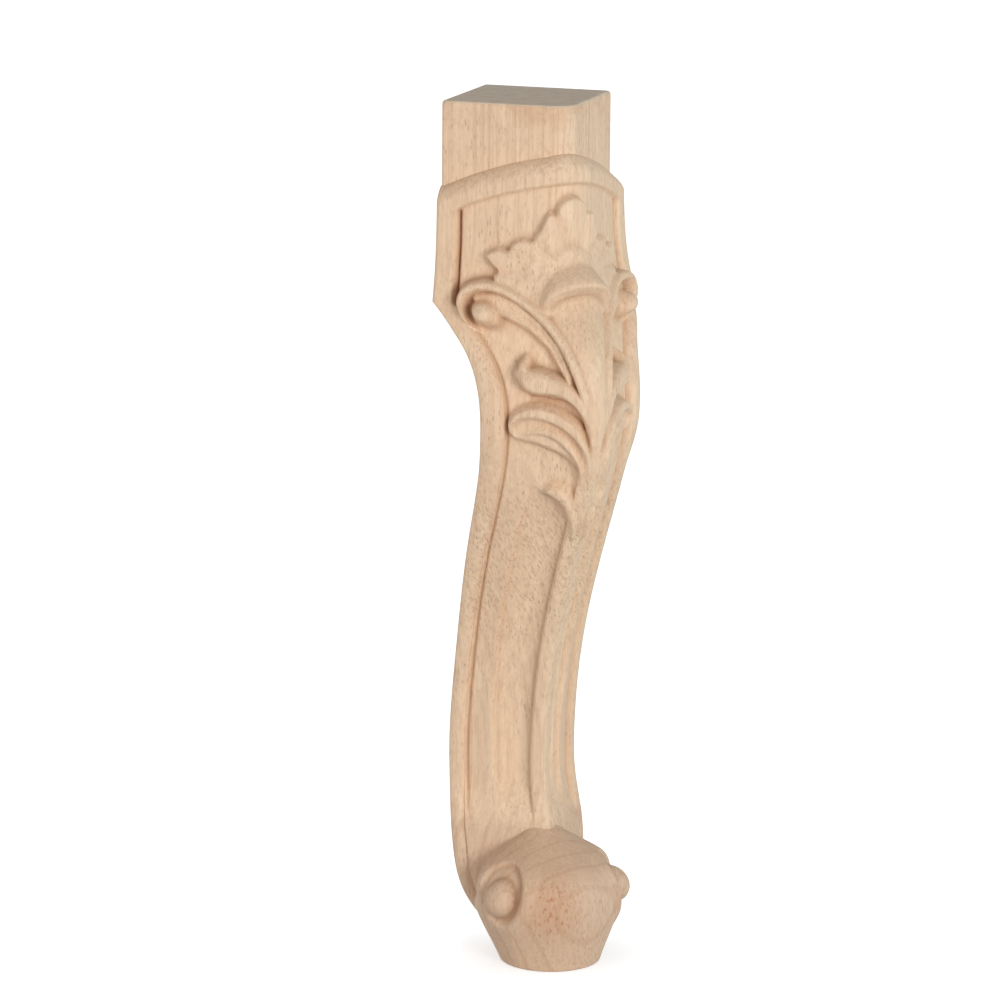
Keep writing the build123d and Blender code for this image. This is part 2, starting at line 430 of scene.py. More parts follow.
@dataclass(frozen=True)
class RubberWood:
    """Raw pale wood with straight grain, short pores and faint growth rings.

    Heights are metres over the floor, as the object's own coordinates are.
    """

    pale: Triple = (0.86, 0.645, 0.445)
    warm: Triple = (0.72, 0.49, 0.325)
    vein: Triple = (0.60, 0.385, 0.245)
    pore: Triple = (0.34, 0.185, 0.10)
    heart: Triple = (0.50, 0.215, 0.105)
    foot: Triple = (0.55, 0.365, 0.255)
    end_grain: Triple = (0.76, 0.64, 0.50)
    # Colour of the painted shade in recesses, under the lip and over the foot's hood.
    painted_shade: Triple = (0.40, 0.20, 0.10)
    roughness: float = 0.62
    gloss: float = 0.28
    streak: Figure = Figure((520, 520, 7), 4, 0.6, (0.30, 0.72), 0.62)
    cloud: Figure = Figure((46, 46, 12), 3, 0.5, (0.38, 0.75), 0.38)
    fibre: Figure = Figure((2200, 2200, 70), 2, 0.6, (0.42, 0.72), 0.30)
    thread: Figure = Figure((1000, 1000, 9), 3, 0.65, (0.48, 0.64))
    grit: Figure = Figure((900, 900, 420), 2, 0.6, (0.46, 0.68))
    fleck: Figure = Figure((900, 900, 420), 2, 0.6, (0.46, 0.66))
    broken: Figure = Figure((160, 160, 160), 2, 0.5, (0.40, 0.62))
    patch: Figure = Figure((90, 90, 40), 2, 0.5, (0.34, 0.66))
    stain: Figure = Figure((75, 75, 130), 3, 0.6, (0.47, 0.66), 0.30)
    mottle: Figure = Figure((260, 260, 260), 4, 0.7, (0.40, 0.75), 0.5)
    foot_zone: Span = (0.047, 0.040)
    post_zone: Span = (0.248, 0.266)
    stain_zone: Span = (0.2685, 0.2785)
    sawn_zone: Span = (0.2793, 0.2798)
    thread_share: Span = (0.22, 0.36)
    grit_share: Span = (0.14, 0.22)
    ring_share: Span = (0.24, 0.02)
    foot_share: float = 0.38
    knot_share: float = 0.90
    pore_share: float = 0.42
    chatter_share: float = 0.29
    sawn_share: float = 0.9
    bump: float = 0.28
    bump_deep: float = 0.0003
    fibre_bump: float = 0.5
    pith: Triple = (52, -38, 0)
    ring_stretch: Triple = (1000, 1000, 40)
    ring_line: Span = (0.86, 1.0)
    pore_stretch: Triple = (1150, 1150, 260)
    pore_spot: Span = (0.34, 0.14)
    nick_turn: Triple = (math.radians(-24.0), math.radians(30.0), 0.0)
    nick_stretch: Triple = (1050, 1050, 330)
    nick_spot: Span = (0.44, 0.18)
    nick_zone: Window = ((0.098, 0.118), (0.166, 0.150))
    knot_place: Triple = (-7, 20, -18.4)
    knot_stretch: Triple = (1000, 1000, 800)
    knot_line: Span = (0.60, 1)
    knot_heart: Span = (10.5, 4)
    knot_halo: Span = (14, 7)
    knot_glow: Span = (14, 3)
    halo_share: float = 0.40
    glow_share: float = 0.42

    def material(self) -> bpy.types.Material:
        """Builds the finish.

        Returns:
            The material.
        """
        made = bpy.data.materials.new("raw_rubberwood")
        made.use_nodes = True
        made.node_tree.nodes.clear()
        bench = Bench(made.node_tree)
        pores = self.pores(bench)
        chatter = self.chatter(bench)
        tone = self.figured(bench)
        for holes, share in ((pores, self.pore_share), (chatter, self.chatter_share)):
            tone = bench.mix(bench.scaled(holes, share), tone, self.pore)
        stain = bench.scaled(bench.figure(self.stain), bench.height(self.stain_zone))
        tone = bench.mix(stain, tone, self.heart)
        end = bench.mix(bench.figure(self.mottle), self.end_grain, self.vein)
        sawn = bench.scaled(bench.height(self.sawn_zone), self.sawn_share)
        tone = bench.mix(sawn, tone, end)
        # Painted shade: the amount stored on each point turns the wood towards a dark brown.
        painted_shade_amount = bench.add("Attribute", attribute_name="painted_shade")
        tone = bench.mix(painted_shade_amount.outputs["Fac"], tone, self.painted_shade)
        fibre = bench.scaled(bench.noise(self.fibre), self.fibre_bump)
        rough = bench.math("SUBTRACT", fibre, bench.math("ADD", pores, chatter))
        bump = bench.add("Bump", {"Strength": self.bump, "Distance": self.bump_deep, "Height": rough})
        shader = bench.add("BsdfPrincipled", {
            "Base Color": tone, "Roughness": self.roughness, "Specular IOR Level": self.gloss,
            "Normal": bump.outputs[0],
        })
        bench.add("OutputMaterial", {0: shader.outputs[0]})
        return made

    def figured(self, bench: Bench) -> Socket:
        """Colour of the grain, with the growth rings, the darker foot and its knot.

        Args:
            bench: Tree of the finish.

        Returns:
            The colour's socket.
        """
        low = bench.height(self.foot_zone)
        post = bench.height(self.post_zone)
        threads = bench.scaled(post, *self.thread_share)
        grains = bench.scaled(bench.math("MAXIMUM", post, low), *self.grit_share)
        tone = self.pale
        for layer in (self.streak, self.cloud, self.fibre):
            tone = bench.mix(bench.figure(layer), tone, self.warm)
        for layer, share in ((self.thread, threads), (self.grit, grains)):
            tone = bench.mix(bench.scaled(bench.figure(layer), share), tone, self.vein)
        lines = bench.scaled(low, *self.ring_share)
        tone = bench.mix(bench.scaled(self.rings(bench), lines), tone, self.heart)
        tone = bench.mix(bench.scaled(low, self.foot_share), tone, self.foot)
        return bench.mix(bench.scaled(self.knot(bench), self.knot_share), tone, self.heart)

    def rings(self, bench: Bench) -> Socket:
        """Thin growth rings about a pith that lies behind the leg."""
        about = bench.mapped(bench.place, Location=self.pith, Scale=self.ring_stretch)
        shape = {"Scale": 0.062, "Distortion": 2.6, "Detail": 3.0, "Detail Scale": 0.5}
        return bench.wave(about, "Z", shape, self.ring_line)

    def pores(self, bench: Bench) -> Socket:
        """Short fine vessel lines along the grain, thicker in some places than in others."""
        spot = bench.cells(bench.place, self.pore_stretch, self.pore_spot)
        return bench.scaled(spot, bench.figure(self.patch))

    def chatter(self, bench: Bench) -> Socket:
        """Close slanting nicks that the cutter tore in the hollow of the upper shaft."""
        slanted = bench.mapped(bench.place, Rotation=self.nick_turn)
        up, down = (bench.height(span) for span in self.nick_zone)
        return bench.scaled(bench.cells(slanted, self.nick_stretch, self.nick_spot), bench.scaled(up, down))

    def knot(self, bench: Bench) -> Socket:
        """Redder wood at the front of the foot: broken rings and short red flecks.

        Args:
            bench: Tree of the finish.

        Returns:
            The knot's socket.
        """
        about = bench.mapped(bench.place, Location=self.knot_place, Scale=self.knot_stretch)
        reach = bench.length(about)
        shape = {"Scale": 0.19, "Distortion": 2.2, "Detail": 2.0, "Detail Scale": 0.7}
        ring = bench.wave(about, "SPHERICAL", shape, self.knot_line)
        ring = bench.scaled(bench.scaled(ring, bench.figure(self.broken)), self.halo_share)
        heart = bench.scaled(bench.figure(self.fleck), bench.spread(reach, self.knot_heart))
        halo = bench.scaled(ring, bench.spread(reach, self.knot_halo))
        glow = bench.scaled(bench.spread(reach, self.knot_glow), self.glow_share)
        return bench.math("MAXIMUM", bench.math("MAXIMUM", heart, halo), glow)


def wrapped_grid(name: str, points: Array, painted_shade: Array, sharp_deg: float) -> bpy.types.Object:
    """Closed body from rings of points, one ring a row, made from a grid that is wrapped and capped.

    Args:
        name: Name of the piece.
        points: Rows by columns by 3, in millimetres from the post's axis.
        painted_shade: Rows by columns, how dark the painted shade is at each point, from 0 to 1.
        sharp_deg: Edges that turn more than this stay sharp.

    Returns:
        The finished mesh object.
    """
    rows, columns = points.shape[:2]
    ring = np.concatenate([points, points[:, :1]], axis=1)
    shade = np.concatenate([painted_shade, painted_shade[:, :1]], axis=1)
    bpy.ops.object.select_all(action="DESELECT")
    bpy.ops.mesh.primitive_grid_add(x_subdivisions=columns, y_subdivisions=rows - 1, size=1.0)
    body = bpy.context.active_object
    body.name = body.data.name = name
    place = np.stack([ring[..., 0] - SOLE_OUT, SOLE_OUT - ring[..., 1], ring[..., 2]], axis=-1) * MM
    body.data.vertices.foreach_set("co", place.reshape(-1).astype(np.float32))
    # Stores each point's painted shade, which the finish darkens by.
    depth = body.data.attributes.new("painted_shade", "FLOAT", "POINT")
    depth.data.foreach_set("value", shade.reshape(-1).astype(np.float32))
    body.data.update()
    bpy.ops.object.mode_set(mode="EDIT")
    bpy.ops.mesh.select_all(action="SELECT")
    bpy.ops.mesh.remove_doubles(threshold=WELD)
    bpy.ops.mesh.fill_holes(sides=0)
    bpy.ops.mesh.select_all(action="SELECT")
    bpy.ops.mesh.normals_make_consistent(inside=False)
    bpy.ops.object.mode_set(mode="OBJECT")
    bpy.ops.object.shade_smooth_by_angle(angle=math.radians(sharp_deg))
    return body


@dataclass(frozen=True)
class KneeCarving:
    """Palmette, lip, pod, reeded scroll and acanthus leaves of one face and the front corner."""

    palmette: Plate = Plate((
        (-4, 251.6), (0, 252.6), (3.6, 251.8), (6.2, 250), (7.8, 247.2), (9.4, 247.8), (11.2, 246.6),
        (12.2, 244.6), (14, 241.8), (16, 239.6), (17.8, 238), (19.8, 238.8), (22.2, 238),
        (24.2, 236.6), (25.8, 234.6), (28.2, 235.4), (31, 234.6), (34, 232.8), (32.2, 230.2),
        (30, 227.8), (31.4, 226.4), (31.2, 223.6), (27, 220), (14, 214), (-3, 216),
    ), 3.3, 1.2)
    veins: tuple[Stroke, ...] = (
        Stroke(((7.8, 247.6, 3, 1.3), (6.2, 242, 5, 1), (4, 236, 4.4, 0.1))),
        Stroke(((17.6, 238.4, 3, 1.3), (12, 235, 5.2, 1), (6, 232, 4.4, 0.1))),
        Stroke(((25.7, 235, 2.6, 1.2), (18, 232, 4.6, 0.8), (9, 229.6, 4, 0.1))),
        Stroke(((30.4, 227.8, 2.6, 1.3), (22, 227.6, 4.4, 0.9), (11, 227.4, 3.6, 0.1))),
    )
    vein_margin: float = 0.3
    scoop: Hump = Hump(2.6, (0, 235.5), (11, 6.5))
    lip: Stroke = Stroke((
        (-14.4, 218.6, 6.4, 5.4), (-8, 225, 11.4, 8), (0, 227.2, 13, 9), (8, 225, 11.4, 8),
        (14.4, 218.6, 6.4, 5.4), (16.6, 213.4, 2.2, 1.2),
    ), Crest.LEAN, 1.0)
    pod: Stroke = Stroke((
        (0, 222, 30, 4), (0, 214, 28.6, 4.4), (0, 205, 19.6, 4.5), (0, 196, 14, 4.3),
        (0, 186, 9.8, 3.8), (0, 174, 7, 3), (0, 160, 5, 2.2), (0, 146, 3.6, 1.8),
    ), wall=1.6)
    pod_blend: float = 0.6
    scroll: Stroke = Stroke((
        (38.6, 208.6, 1.4, 2), (42.2, 211.4, 2.8, 3.8), (43.6, 215.4, 3.8, 5.4), (41.8, 219.8, 4.6, 6.4),
        (36.6, 222.8, 5.2, 6.4), (30.6, 222.8, 5.2, 5.6), (24, 220.4, 5.2, 5.2), (16.6, 215.2, 5.2, 5.1),
        (10, 207, 5.4, 5), (6.8, 198.6, 5.4, 4.8), (4.4, 189.4, 4.6, 4.2), (2.4, 180, 3.4, 3),
        (1.2, 171, 2.2, 2.2),
    ), wall=1.3)
    strip: Plate = Plate((
        (41, 219), (38, 221.6), (30, 221.6), (23.6, 219.4), (16.4, 214), (10.4, 206),
        (8, 197.6), (8.4, 192.6), (10.4, 192.2), (12.6, 197), (16, 204.4), (21.6, 209.8),
        (29, 213), (36, 214.6),
    ), 2.5, 1.5)
    strip_line: Stroke = Stroke((
        (29, 216.8, 2, 0.3), (22.2, 213.8, 2.2, 0.9), (15.8, 207.8, 2.2, 1), (11.2, 199, 1.8, 0.8),
    ))
    ball: Stroke = Stroke(((36, 214.6, 10.2, 7.4), (34.8, 214.8, 10.2, 7.4)), wall=2.8)
    curl: Stroke = Stroke((
        (27, 197, 4.4, 3.2), (24.6, 195.4, 8.2, 4.6), (20, 194.6, 9.2, 4.9), (15, 193.8, 8, 4.7),
        (10.4, 192, 6.8, 4.5), (6.6, 188.2, 5.4, 4), (3.6, 182.4, 3.8, 3.4), (1.6, 174, 2.6, 2.6),
    ), wall=1.5)
    curl_tip: Stroke = Stroke((
        (24.2, 195.6, 7.4, 4.7), (25, 198.6, 5.4, 4.3), (24, 202.4, 1.8, 2.2),
    ), wall=1.4)
    tip_blend: float = 0.8
    broad: Plate = Plate((
        (31, 184.4), (27, 187), (17, 187.2), (9.6, 184.2), (4.2, 179.2), (1.4, 174), (-1, 168),
        (3, 162.6), (7.5, 168), (13.8, 171.6), (22.3, 174.4), (30, 175.4), (32.2, 180),
    ), 1.3, 1.6)
    broad_rims: tuple[Stroke, ...] = (
        Stroke((
            (26, 176.6, 2.4, 1.4), (29.4, 177.2, 3.2, 2.4), (31, 180.2, 3.8, 3), (29.4, 183, 4.8, 3.3),
            (25, 184.8, 5.8, 3.5), (17.5, 184.4, 6.2, 3.6), (10.6, 181.2, 5.8, 3.7), (5.6, 176.4, 5, 3.6),
            (2.6, 170.2, 3.8, 3.2), (0.8, 160, 2.6, 2.4),
        ), wall=1.8),
        Stroke((
            (27.6, 177.2, 2.4, 1.4), (22.4, 179, 4, 2.4), (16, 178.4, 4.6, 2.9), (10.4, 174.8, 4.4, 3),
            (6.2, 169.8, 3.6, 2.9), (3.6, 162.4, 2.6, 2.4),
        ), wall=1.5),
    )
    sickle: Plate = Plate((
        (18.8, 158.6), (16.2, 161.4), (13.4, 162.4), (10.2, 161.8), (7.4, 160.2), (4.8, 157.4), (2.6, 153.8),
        (0.4, 149.6), (0.2, 140), (3.8, 142), (5.4, 146.8), (6.8, 150.2), (8.8, 153), (10.8, 155),
        (12.8, 156), (14.8, 157),
    ), 3.4, 2.4)

    def carve(self, height: Array, face: Face) -> None:
        """Carves the knee of one face.

        Args:
            height: Heights of the face, changed in place.
            face: The face.
        """
        self.palmette.raise_on(height, face, self.scoop.over(face))
        inside = self.palmette.inside(face) > self.vein_margin
        cut = height.copy()
        for vein in self.veins:
            vein.cut_in(cut, face)
        height[inside] = cut[inside]
        for piece in (self.sickle, self.broad, *self.broad_rims, self.curl):
            piece.raise_on(height, face)
        self.curl_tip.raise_on(height, face, self.tip_blend)
        self.pod.raise_on(height, face, self.pod_blend)
        self.strip.raise_on(height, face)
        self.strip_line.cut_in(height, face)
        for stroke in (self.scroll, self.ball, self.lip):
            stroke.raise_on(height, face)


@dataclass(frozen=True)
class CabrioleShaft:
    """Post, moulded block, knee and shaft, down to the inside of the foot.

    Spans and windows of heights say where a feature fades in and out.
    """

    front: Curve = Curve((
        (15.4, 0), (15.5, 40), (12.6, 54), (12, 68), (17.9, 110), (30, 150), (37.4, 186), (28.6, 224),
        (26.4, 248), (26.1, 272), (26.1, 290),
    ))
    back: Curve = Curve((
        (4.4, 0), (-12.8, 17), (-18.2, 33), (-21.4, 64), (-18.1, 100), (-10.3, 140), (-2.6, 180),
        (-10.4, 205), (-21.5, 217),
    ))
    band: Curve = Curve((
        (5.4, 40), (5.5, 80), (5.7, 113), (6.7, 140), (7.7, 165), (7.8, 190), (7.4, 205), (7.1, 217),
        (7.1, 290),
    ))
    corner: Curve = Curve((
        (3.2, 0), (3.2, 120), (4.5, 150), (7.5, 185), (9, 205), (12, 225), (13, 240), (12.6, 254),
        (12, 264), (11.8, 290),
    ))
    flute_line: Curve = Curve(((19, 40), (19.2, 65), (21.4, 100), (23, 142), (23.4, 170)))
    arch_top: float = 264.8
    arch_middle: float = 26.0
    arch_soft: float = 9.0
    arch_fall: Span = (0.15, 0.0042)
    arch_level: float = 258.45
    arch_deep: float = 8.8
    arch_bend: Window = ((226, 244), (HEIGHT, 264))
    cove: float = 4.8
    cove_power: float = 1.3
    cove_shares: Span = (0.45, 0.55)
    rib: float = 5.0
    rib_end: Span = (172, 181)
    rib_wall: float = 1.0
    edge_round: float = 1.3
    spine_round: float = 2.4
    spine_least: float = 0.3
    edge_turns: tuple[float, ...] = (18, 36, 54, 72, 90)
    spine_turns: Span = (22, 45)
    spine_zone: Window = ((20, 34), (214, 204))
    limit: float = 39.2
    panel_wall: Span = (0.8, 0.7)
    ground_start: Span = (40, 48)
    shaft_zone: Span = (168, 142)
    strip_deep: Span = (0.7, 1.1)
    flute_deep: Span = (0.9, 2.2)
    flute_wall: float = 1.5
    flute_start: Span = (44, 60)
    hollow_ends: Span = (0.04, 0.92)
    hollow_power: float = 0.85
    knee_deep: float = 1.2
    knee_zone: Window = ((158, 172), (224, 218))
    knee_slope: float = 12.0
    by_ball: Hump = Hump(1, (33, 214), (math.sqrt(90), math.sqrt(90)))
    band_swell: float = 1.25
    swell_power: float = 2.2
    swell_zone: Span = (212, 200)
    band_proud: float = 1.4
    proud_zone: Window = ((160, 178), (216, 206))
    slot_deep: float = 2.6
    slot_zone: Span = (216, 219)
    slot_end: Span = (0.4, 1.4)
    line_deep: float = 0.9
    line_zone: Window = ((44, 58), (208, 198))
    line_in: float = 0.5
    groove_half: float = 1.1
    rib_cut: float = 0.6
    rib_cut_out: float = 0.6
    rib_cut_zone: Window = ((42, 52), (152, 144))
    seam_deep: float = 1.1
    seam_below: float = 0.2
    seam_half: float = 0.55
    lean: float = 0.6
    # Painted shade in the carving's recesses, by how far each place lies below its neighbours.
    shade: Shade = Shade(40, 0.16, 0.50, 0.66)
    # Painted shadow of the lip on the top of the pod below it.
    painted_lip_shadow: Hump = Hump(0.23, (0, 213), (9, 8))
    row_runs: Knots = (
        (3, 45, 1.4), (45, 134, 1.25), (134, 248, 0.5), (248, 262, 0.42), (262, 278.4, 1.5),
    )
    top_rows: tuple[float, ...] = (279.0, 279.5, 279.85, 280.0)
    top_ease: tuple[float, ...] = (0.0, 0.12, 0.4, 0.8)
    cap_share: float = 0.97
    rib_points: int = 10
    panel_points: int = 78
    band_points: int = 12
    back_points: int = 14
    sharp_deg: float = 48.0
    knee: KneeCarving = KneeCarving()

    def arch(self, p: Array) -> Array:
        """Heights of the arched moulding's upper edge at places p on the face."""
        away = np.hypot(self.arch_middle - p, self.arch_soft) - self.arch_soft
        return self.arch_top - self.arch_fall[0] * away - self.arch_fall[1] * away**2

    def ovolo(self, level: Array) -> Array:
        """Share of the step back from the moulding to the post, rounded over at its foot."""
        t = np.clip((level - (self.arch_level - self.cove)) / self.cove, 0.0, 1.0)
        return self.cove_shares[0] * t**self.cove_power + self.cove_shares[1] * (1.0 - np.sqrt(1.0 - t**2))

    def face(self) -> Face:
        """Lays out the points of one face, closer where the carving is.

        Returns:
            The face, from inside the foot to the flat top and from the front corner to the side edge.
        """
        rows = [np.arange(*run) for run in self.row_runs] + [np.array(self.top_rows)]
        level = np.concatenate(rows)[:, None]
        sawn, band = self.front.at(level), self.band.at(level)
        width = sawn - self.back.at(level)
        edge, start = width - self.edge_round, width - band
        rib = np.linspace(0.0, 1.0, self.rib_points, endpoint=False)
        panel = np.linspace(0.0, 1.0, self.panel_points, endpoint=False)
        border = np.linspace(0.0, 1.0, self.band_points)
        d = np.concatenate([
            rib * self.rib + 0.0 * edge,
            self.rib + panel * (start - self.rib),
            start + border * (edge - start),
        ], axis=1)
        z = level + (self.arch(sawn - d) - self.arch_level) * window(level, self.arch_bend)
        return Face(level, width, band, d, z)

    def flute(self, face: Face) -> Array:
        """Heights of the shaft's hollow and of the strip beside it.

        Args:
            face: The face.

        Returns:
            One height for each point.
        """
        line = self.flute_line.at(face.z) * ACROSS
        share = np.clip((face.d - self.rib) / (line - self.rib), 0.0, 1.0)
        first, run = self.hollow_ends
        hollow = np.sin(math.pi * np.clip(first + run * share, 0.0, 1.0)) ** self.hollow_power
        slope = np.clip((face.d - line) / np.maximum(face.start - line, 1.0), 0.0, 1.0)
        strip = -self.strip_deep[0] - self.strip_deep[1] * slope
        step = smooth_step((line - face.d) / self.flute_wall) * ramp(face.z, self.flute_start)
        return strip - (self.flute_deep[0] + self.flute_deep[1] * hollow) * step

    def ground(self, face: Face) -> Array:
        """Heights of the carved ground: deeper in the knee, and hollow in the shaft.

        Args:
            face: The face.

        Returns:
            One height for each point.
        """
        slope = smooth_step((face.start - face.d) / self.knee_slope)
        deep = self.knee_deep * window(face.z, self.knee_zone) * (1.0 - self.by_ball.over(face)) * slope
        return GROUND - deep + (self.flute(face) - GROUND) * ramp(face.z, self.shaft_zone)

    def border(self, face: Face) -> Array:
        """Heights of the rounded border band, 0 off the band.

        Args:
            face: The face.

        Returns:
            One height for each point.
        """
        x = np.clip((face.d - face.start) / face.band, 0.0, 1.0)
        swell = self.band_swell * np.abs(2.0 * x - 1.0) ** self.swell_power * ramp(face.z, self.swell_zone)
        return np.where(face.d > face.start, self.band_proud * window(face.z, self.proud_zone) - swell, 0.0)

    def relief(self, face: Face) -> Array:
        """Heights of one face over its sawn surface.

        Args:
            face: The face.

        Returns:
            One height for each point.
        """
        d, z = face.d, face.z
        below = (self.arch_level - self.arch_deep) - face.level
        under = smooth_step(below / self.panel_wall[0])
        outer = smooth_step((face.start - d) / self.panel_wall[1])
        inner = np.maximum(smooth_step((d - self.rib) / self.rib_wall), ramp(z, self.rib_end))
        height = self.ground(face) * under * outer * inner * ramp(z, self.ground_start)
        height += self.border(face)
        self.knee.carve(height, face)
        slot = self.slot_deep * ramp(z, self.slot_zone) * ramp(below, self.slot_end)
        line = self.line_deep * window(z, self.line_zone)
        height -= notch(d - face.start + self.line_in, self.groove_half) * (slot + line)
        rib_side = notch(d - self.rib - self.rib_cut_out, self.groove_half)
        height -= self.rib_cut * rib_side * window(z, self.rib_cut_zone)
        height -= self.seam_deep * notch(below - self.seam_below, self.seam_half) * outer
        return blurred(height, 1)

    def half_rings(self) -> tuple[Array, Array]:
        """Points of one half of the leg, from the front corner to the back corner.

        Returns:
            Levels by columns by 3 of points, and how dark the painted shade is at each, in the recesses and
            under the lip.
        """
        face = self.face()
        height = self.relief(face)
        # Painted shade in the recesses, plus the lip's painted shadow on the pod.
        painted_shade = self.shade.over(height) + self.painted_lip_shadow.over(face)
        ease = np.interp(face.level, self.top_rows, self.top_ease)
        carved = self.wrapped(face, height, ease)
        side = self.side_rings(carved[:, -1:, 1], face.z[:, -1:], ease)
        return np.concatenate([carved, side], axis=1), np.pad(painted_shade, ((0, 0), (0, side.shape[1])))

    def wrapped(self, face: Face, height: Array, ease: Array) -> Array:
        """Points of one carved face, laid on the sawn surface and round the front corner.

        Args:
            face: The face.
            height: Heights over the sawn surface.
            ease: Easing of the top edge at each level.

        Returns:
            Levels by columns by 3 of points.
        """
        z, reach = face.z, self.front.at(face.z)
        back_step = self.ovolo(face.level)
        height = height * (1.0 - back_step) + (POST_HALF - reach) * back_step - ease
        radius = self.corner.at(face.level)
        turn = FRONT_TURN * (1.0 + np.clip(face.d / radius, 0.0, 1.0))
        run = np.maximum(face.d - radius, 0.0)
        slope = (self.front.at(z + 0.5) - self.front.at(z - 0.5)) * (1.0 - back_step)
        tilt = 1.0 / np.sqrt(1.0 + slope**2)
        p = reach - radius + (radius + height * tilt) * np.cos(turn) - run
        q = reach - radius + (radius + height * tilt) * np.sin(turn)
        lowered = z - height * slope * tilt * self.lean * (1.0 - back_step)
        return np.stack([np.minimum(p, self.limit), np.minimum(q, self.limit), lowered], axis=-1)

    def side_rings(self, last: Array, z: Array, ease: Array) -> Array:
        """Points round the side edge and over the plain back face, to the back corner.

        Args:
            last: Where the carved face ends at each level, out from the post's axis.
            z: Height of each ring at the side edge.
            ease: Easing of the top edge at each level.

        Returns:
            Levels by columns by 3 of points.
        """
        out = self.back.at(z) + ease
        turn, spine_turn = np.radians(self.edge_turns), np.radians(self.spine_turns)
        arc_p = out + self.edge_round * (1.0 - np.sin(turn))
        arc_q = last - self.edge_round * (1.0 - np.cos(turn))
        spine = self.spine_round * window(z, self.spine_zone) + self.spine_least
        share = np.linspace(0.0, 1.0, self.back_points + 1)[1:]
        flat_q = arc_q[:, -1:] + share * (out + spine - arc_q[:, -1:])
        flat_p = np.repeat(out, len(share), axis=1)
        bend_p, bend_q = (out + spine - spine * way for way in (np.cos(spine_turn), np.sin(spine_turn)))
        p = np.concatenate([arc_p, flat_p, bend_p], axis=1)
        q = np.concatenate([arc_q, flat_q, bend_q], axis=1)
        return np.stack([p, q, np.repeat(z, p.shape[1], axis=1)], axis=-1)

    def build(self) -> bpy.types.Object:
        """Models the shaft from one half, its mirror image and a flat cap.

        Returns:
            The mesh object.
        """
        half, painted_shade = self.half_rings()
        twin = half[:, 1:-1, [1, 0, 2]]
        points = np.concatenate([half, twin[:, ::-1]], axis=1)
        cap = points[-1:] * (self.cap_share, self.cap_share, 1.0)
        # Painted shade of the mirrored half, and none on the flat cap.
        shade = np.concatenate([painted_shade, painted_shade[:, 1:-1][:, ::-1]], axis=1)
        points = np.concatenate([points, cap])
        shade = np.pad(shade, ((0, 1), (0, 0)))
        return wrapped_grid("carved_shaft", points, shade, self.sharp_deg)


